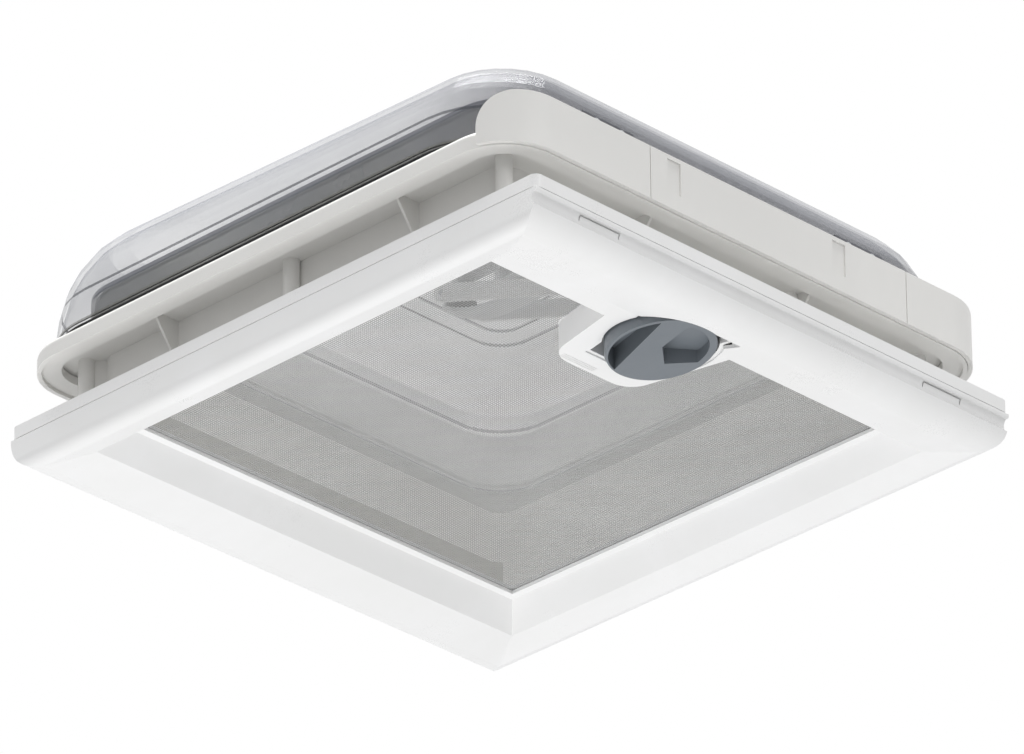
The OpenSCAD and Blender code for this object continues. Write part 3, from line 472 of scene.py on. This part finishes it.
# The inner pane: black line at the foot, olive side with a double line, pale shelf, dark terrace risers
PANE_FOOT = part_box("dome_pane")[0].z
FOOT_MARGIN = 0.6 * MM
FOOT_LINE_WIDTH = 1.0 * MM
DOUBLE_LINE_UP = 32.6 * MM
DARK_LINE_WIDTH = 1.5 * MM
PALE_LINE_WIDTH = 3.0 * MM
SHELF_UP, SHELF_RANGE = 35 * MM, 5 * MM
RISERS_UP, RISERS_RANGE = 42.6 * MM, 11.4 * MM
SIDE_LOW_Z = PANE_FOOT + FOOT_LINE_WIDTH
LOW_LINE_Z = PANE_FOOT + DOUBLE_LINE_UP
PALE_LINE_Z = LOW_LINE_Z + DARK_LINE_WIDTH
HIGH_LINE_Z = PALE_LINE_Z + PALE_LINE_WIDTH
SIDE_HIGH_Z = HIGH_LINE_Z + DARK_LINE_WIDTH
SHELF_Z = PANE_FOOT + SHELF_UP
RISERS_Z = PANE_FOOT + RISERS_UP


def pane_shelf(tree):
    return level(tree, SHELF_Z, SHELF_Z + SHELF_RANGE)


def pane_side(tree):
    return steep(tree, SIDE_LOW_Z, SIDE_HIGH_Z)


def side_colour(tree):
    """Pale on the side's inner faces and olive on its outer ones."""
    return tree.mixed(outward(tree), colour(226, 226, 224), colour(126, 126, 119))


def foot_line(tree):
    return lined(tree, PANE_FOOT - FOOT_MARGIN, SIDE_LOW_Z)


def low_line(tree):
    return lined(tree, LOW_LINE_Z, PALE_LINE_Z)


def pale_line(tree):
    return lined(tree, PALE_LINE_Z, HIGH_LINE_Z)


def high_line(tree):
    return lined(tree, HIGH_LINE_Z, SIDE_HIGH_Z)


def terrace_risers(tree):
    return steep(tree, RISERS_Z, RISERS_Z + RISERS_RANGE)


def smoked_pane_finish():
    return acrylic("smoked_pane", colour(176, 179, 186), clear=0.03, edge=0.5, zones=[
        (pane_shelf, colour(196, 195, 190), 0.3),
        (pane_side, side_colour, 0.62),
        (foot_line, colour(24, 24, 25), 0.94),
        (low_line, colour(84, 86, 92), 0.85),
        (pale_line, colour(150, 152, 158), 0.4),
        (high_line, colour(84, 86, 92), 0.8),
        (terrace_risers, colour(104, 106, 112), 0.5)])


# A material for each slot of the record, where dark_plastic is pale all the same, and one for the lift arms
materials = {
    "white_outer": white_outer_finish(),
    "white_inner": white_inner_finish(),
    "rubber": rubber_finish(),
    "hinge_black": hinge_black_finish(),
    "steel": steel_finish(),
    "net": net_finish(),
    "dark_plastic": dark_plastic_finish(),
    "black_plastic": black_plastic_finish(),
    "knob_grey": knob_grey_finish(),
    "smoked": smoked_finish(),
    "smoked_pane": smoked_pane_finish(),
    "arm_grey": arm_grey_finish(),
}


def finish_nodes():
    """Gives each CAD node the finish of its slot, and the lift arms a paler one."""
    slot_of = {part["node"]: part["material_slot"] for part in frame["record"]["subparts"]}
    for name, piece in nodes.items():
        piece.data.materials.clear()
        slot = "arm_grey" if name.startswith("lift_arm") else slot_of[name]
        piece.data.materials.append(materials[slot])


finish_nodes()

# Fly screen: two layers of flat strands on the trim's ledge, cut out round the knob's bay
NET_LOW, NET_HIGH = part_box("screen_net")
PITCH = 1.8 * MM
STRAND_W = 0.46 * MM
STRAND_T = 0.24 * MM
NET_EDGE = 0.2 * MM
LONG_STRANDS_UP, CROSS_STRANDS_UP = 0.25 * MM, 0.42 * MM

# The knob's bay: where it starts, its middle, half its width there, its corner and the flare of its sides
BAY_X0 = 117.6 * MM
BAY_Y = -41.0 * MM
BAY_HALF = 35.4 * MM
BAY_R = 18.4 * MM
BAY_FLARE = 0.2157
BAY_LEAN = math.atan(BAY_FLARE)
BAY_CENTRE = BAY_HALF + BAY_R * math.tan(BAY_LEAN) - BAY_R / math.cos(BAY_LEAN)
BAY_SEARCH_STEPS = 24

# A strand's corners round its section, in z and across, and its faces by corner
STRAND_CORNERS = ((-1, -1), (-1, 1), (1, 1), (1, -1))
STRAND_FACES = ((0, 1, 5, 4), (1, 2, 6, 5), (2, 3, 7, 6), (3, 0, 4, 7), (3, 2, 1, 0), (4, 5, 6, 7))


def bay_half(x):
    """Half the width of the knob's bay at a place x past its start."""
    if x < BAY_X0 + BAY_R - BAY_R * math.sin(BAY_LEAN):
        return BAY_CENTRE + math.sqrt(max(0.0, BAY_R ** 2 - (BAY_X0 + BAY_R - x) ** 2))
    return BAY_HALF + (x - BAY_X0) * math.tan(BAY_LEAN)


def long_runs(x, low, high):
    """The stretches of y that a strand covers at a place x: one, or two where the bay parts it."""
    if x <= BAY_X0:
        return [(low, high)]
    half = bay_half(x)
    return [(low, BAY_Y - half), (BAY_Y + half, high)]


def cross_end(y, end):
    """Where a strand ends in x at a place y: at the bay, or at the net's edge."""
    off = abs(y - BAY_Y)
    if off <= BAY_CENTRE:
        return BAY_X0
    low, high = BAY_X0, NET_HIGH.x
    if bay_half(high) < off:
        return end
    for _ in range(BAY_SEARCH_STEPS):
        middle = (low + high) / 2
        if bay_half(middle) < off:
            low = middle
        else:
            high = middle
    return high


def strand(bm, start, end, across, z):
    """One flat bar of the net between two places, at height z."""
    side = Vector(across) * STRAND_W / 2
    corners = [
        bm.verts.new(Vector((x, y, z + up * STRAND_T / 2)) + side * out)
        for x, y in (start, end)
        for up, out in STRAND_CORNERS]
    for face in STRAND_FACES:
        bm.faces.new([corners[i] for i in face])


def strand_places(low, high):
    """Even places one pitch apart between two edges, kept off both edges."""
    count = int((high - low - 2 * NET_EDGE) / PITCH)
    first = (low + high - PITCH * (count - 1)) / 2
    return [first + i * PITCH for i in range(count)]


def net_mesh():
    bm = bmesh.new()
    x0, x1 = NET_LOW.x + NET_EDGE, NET_HIGH.x - NET_EDGE
    y0, y1 = NET_LOW.y + NET_EDGE, NET_HIGH.y - NET_EDGE
    for x in strand_places(NET_LOW.x, NET_HIGH.x):
        for low, high in long_runs(x, y0, y1):
            strand(bm, (x, low), (x, high), (1, 0, 0), NET_LOW.z + LONG_STRANDS_UP)
    for y in strand_places(NET_LOW.y, NET_HIGH.y):
        strand(bm, (x0, y), (cross_end(y, x1), y), (0, 1, 0), NET_LOW.z + CROSS_STRANDS_UP)
    mesh = bpy.data.meshes.new("net_weave")
    bm.to_mesh(mesh)
    bm.free()
    return mesh


def add_net():
    net = bpy.data.objects.new("net_weave", net_mesh())
    bpy.context.scene.collection.objects.link(net)
    net.data.materials.append(materials["net"])
    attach(net, "base")
    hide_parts("screen_net")


add_net()

# Floor, world and lamps
FLOOR_HALF = 16.0
FLOOR_CELLS = 8
FLOOR_Z = -3.6
FLOOR_GLOW = 0.5
WORLD_LIGHT = 0.52
WORLD_TINT = (0.985, 0.99, 1.0, 1.0)
WHITE = (1.0, 1.0, 1.0, 1.0)
LAMP_SIZE = 1.6
LAMPS = {
    "lamp_below": ((-0.15, -0.4, -1.7), 14.5),
    "lamp_front": ((1.2, -2.6, -0.5), 3.5),
    "lamp_side": ((2.7, 0.3, 0.9), 13.5),
    "lamp_above": ((0.0, -0.1, 2.2), 115.0),
}


def background_rays(node_tree):
    """1 for rays that see the background or its reflection, 0 for those that light the object."""
    path = node_tree.nodes.new("ShaderNodeLightPath")
    seen = path.outputs["Is Camera Ray"]
    for name in ("Is Glossy Ray", "Is Transmission Ray"):
        most = node_tree.nodes.new("ShaderNodeMath")
        most.operation = "MAXIMUM"
        node_tree.links.new(seen, most.inputs[0])
        node_tree.links.new(path.outputs[name], most.inputs[1])
        seen = most.outputs[0]
    return seen


def floor_material():
    """Pale floor: half of what is seen of it glows, and the other half takes the light and the shadow."""
    tree = Tree("floor_pale")
    lit = tree.add("ShaderNodeBsdfDiffuse")
    glow = tree.add("ShaderNodeEmission")
    blend = tree.add("ShaderNodeMixShader")
    grain = tree.noise(scale=3.0, detail=3.0, rough=0.5)
    pale = tree.mixed(tree.ranged(grain), colour(243, 243, 243), colour(238, 238, 238))
    tree.link(pale, lit.inputs["Color"])
    tree.link(pale, glow.inputs["Color"])
    tree.link(tree.maths("MULTIPLY", background_rays(tree.node_tree), FLOOR_GLOW), blend.inputs[0])
    tree.link(lit.outputs[0], blend.inputs[1])
    tree.link(glow.outputs[0], blend.inputs[2])
    tree.link(blend.outputs[0], tree.out.inputs["Surface"])
    return tree.material


def add_floor():
    bm = bmesh.new()
    bmesh.ops.create_grid(bm, x_segments=FLOOR_CELLS, y_segments=FLOOR_CELLS, size=FLOOR_HALF)
    mesh = bpy.data.meshes.new("floor")
    bm.to_mesh(mesh)
    bm.free()
    mesh.materials.append(floor_material())
    floor = bpy.data.objects.new("floor", mesh)
    floor.location = (0.0, 0.0, FLOOR_Z)
    bpy.context.scene.collection.objects.link(floor)


def add_world():
    """A white background to look at, and a softer light on the object."""
    world = bpy.data.worlds.new("studio")
    bpy.context.scene.world = world
    world.use_nodes = True
    node_tree = world.node_tree
    node_tree.nodes.clear()
    out = node_tree.nodes.new("ShaderNodeOutputWorld")
    blend = node_tree.nodes.new("ShaderNodeMixShader")
    light = node_tree.nodes.new("ShaderNodeBackground")
    light.inputs["Color"].default_value = WORLD_TINT
    light.inputs["Strength"].default_value = WORLD_LIGHT
    seen = node_tree.nodes.new("ShaderNodeBackground")
    seen.inputs["Color"].default_value = WHITE
    node_tree.links.new(background_rays(node_tree), blend.inputs[0])
    node_tree.links.new(light.outputs[0], blend.inputs[1])
    node_tree.links.new(seen.outputs[0], blend.inputs[2])
    node_tree.links.new(blend.outputs[0], out.inputs["Surface"])


def add_lamp(name, place, watts):
    """A square soft box that faces the middle of the vent."""
    data = bpy.data.lights.new(name, "AREA")
    data.shape = "SQUARE"
    data.size = LAMP_SIZE
    data.energy = watts
    lamp = bpy.data.objects.new(name, data)
    bpy.context.scene.collection.objects.link(lamp)
    lamp.location = place
    lamp.rotation_euler = Vector(place).to_track_quat("Z", "Y").to_euler()
    lamp.visible_camera = False


add_floor()
add_world()
for lamp_name, (lamp_place, lamp_watts) in LAMPS.items():
    add_lamp(lamp_name, lamp_place, lamp_watts)
